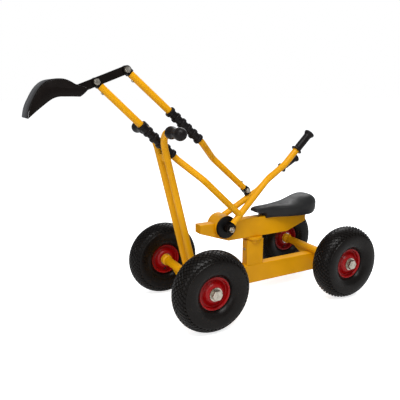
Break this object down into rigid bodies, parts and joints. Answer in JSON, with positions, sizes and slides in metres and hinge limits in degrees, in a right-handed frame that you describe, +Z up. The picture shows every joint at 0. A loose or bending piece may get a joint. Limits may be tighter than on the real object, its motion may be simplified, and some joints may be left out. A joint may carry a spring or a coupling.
{
  "type": "ride-on toy excavator",
  "caption": "Ride-on toy excavator on air-filled wheels with a swivelling seat, two hand levers, a lifting boom and a curling bucket.",
  "frame": {"origin": "on the ground under the middle of the overall length and width", "axes": "+X forward towards the bucket, +Y to the driver's left, +Z up"},
  "size_m": [1.156, 0.4424, 0.7989],
  "materials": {
    "yellow_paint": "gloss powder coat",
    "red_paint": "gloss paint",
    "black_paint": "satin paint",
    "zinc": "zinc plated",
    "dark_steel": "blackened",
    "bearing_steel": "ground",
    "black_rubber": "satin",
    "tube_rubber": "matt",
    "tyre": "semi-matt",
    "seat_plastic": "satin",
    "cap_plastic": "satin",
    "nylon": "matt"
  },
  "bodies": {
    "chassis": {"chassis_beam": "yellow_paint", "column": "yellow_paint", "column_screw": "dark_steel", "front_axle_tube": "yellow_paint", "rear_axle_tube": "yellow_paint", "axle_gussets": "yellow_paint", "handle_upright_left": "yellow_paint", "handle_upright_right": "yellow_paint", "boom_rest": "yellow_paint", "handle_grip_left": "black_rubber", "handle_grip_right": "black_rubber", "wheel_bolts": "zinc", "wheel_washers": "zinc", "swivel_housing": "yellow_paint", "swivel_bushes": "nylon"},
    "house": {"house_shell": "yellow_paint", "swivel_spindle": "yellow_paint", "swivel_nut": "zinc", "pivot_drum": "yellow_paint", "drum_caps": "cap_plastic", "pivot_axle": "zinc", "pivot_nuts": "zinc", "seat": "seat_plastic", "seat_bolts": "zinc"},
    "boom": {"boom_tube": "yellow_paint", "lever_left": "yellow_paint", "hub_lug_left": "black_paint", "lever_grip_left": "black_rubber", "boom_bellows": "black_rubber", "boom_clevis": "black_paint", "boom_clevis_screw": "dark_steel", "bucket_pivot_bolt": "zinc"},
    "right_lever": {"lever_right": "yellow_paint", "hub_lug_right": "black_paint", "link_lug": "black_paint", "lever_grip_right": "black_rubber"},
    "link": {"link_tube": "yellow_paint", "link_bellows": "black_rubber", "link_clevises": "black_paint", "link_clevis_screws": "dark_steel", "link_pivot_bolts": "zinc"},
    "bucket": {"bucket_bar": "black_paint", "bucket_shell": "black_paint", "bucket_side_plates": "black_paint"},
    "wheel_front_left": {"tyre_front_left": "tyre", "inner_tube_front_left": "tube_rubber", "rim_front_left": "red_paint", "bearings_front_left": "bearing_steel"},
    "wheel_front_right": {"tyre_front_right": "tyre", "inner_tube_front_right": "tube_rubber", "rim_front_right": "red_paint", "bearings_front_right": "bearing_steel"},
    "wheel_rear_left": {"tyre_rear_left": "tyre", "inner_tube_rear_left": "tube_rubber", "rim_rear_left": "red_paint", "bearings_rear_left": "bearing_steel"},
    "wheel_rear_right": {"tyre_rear_right": "tyre", "inner_tube_rear_right": "tube_rubber", "rim_rear_right": "red_paint", "bearings_rear_right": "bearing_steel"}
  },
  "joints": [
    {"name": "swivel", "type": "hinge", "parent": "chassis", "child": "house", "pos_m": [-0.174, 0, 0.212], "axis": [0, 0, 1], "continuous": true},
    {"name": "boom_lift", "type": "hinge", "parent": "house", "child": "boom", "pos_m": [-0.041, 0, 0.276], "axis": [0, -1, 0], "range_deg": [0, 35]},
    {"name": "curl_lever", "type": "hinge", "parent": "boom", "child": "right_lever", "pos_m": [-0.041, 0, 0.276], "axis": [0, -1, 0], "range_deg": [-25, 3]},
    {"name": "link_pivot", "type": "hinge", "parent": "right_lever", "child": "link", "pos_m": [-0.17244, -0.05, 0.37892], "axis": [0, -1, 0], "range_deg": [-6, 29]},
    {"name": "bucket_pivot", "type": "hinge", "parent": "boom", "child": "bucket", "pos_m": [0.3785, 0, 0.7512], "axis": [0, -1, 0], "range_deg": [-46, 8]},
    {"name": "wheel_spin_front_left", "type": "hinge", "parent": "chassis", "child": "wheel_front_left", "pos_m": [0.102, 0.1785, 0.13], "axis": [0, 1, 0], "continuous": true},
    {"name": "wheel_spin_front_right", "type": "hinge", "parent": "chassis", "child": "wheel_front_right", "pos_m": [0.102, -0.1785, 0.13], "axis": [0, 1, 0], "continuous": true},
    {"name": "wheel_spin_rear_left", "type": "hinge", "parent": "chassis", "child": "wheel_rear_left", "pos_m": [-0.448, 0.1785, 0.13], "axis": [0, 1, 0], "continuous": true},
    {"name": "wheel_spin_rear_right", "type": "hinge", "parent": "chassis", "child": "wheel_rear_right", "pos_m": [-0.448, -0.1785, 0.13], "axis": [0, 1, 0], "continuous": true}
  ],
  "couplings": [
    {"joint": "link_pivot", "follows": "curl_lever", "ratio": -1.0447},
    {"joint": "bucket_pivot", "follows": "curl_lever", "ratio": 1.7355}
  ]
}
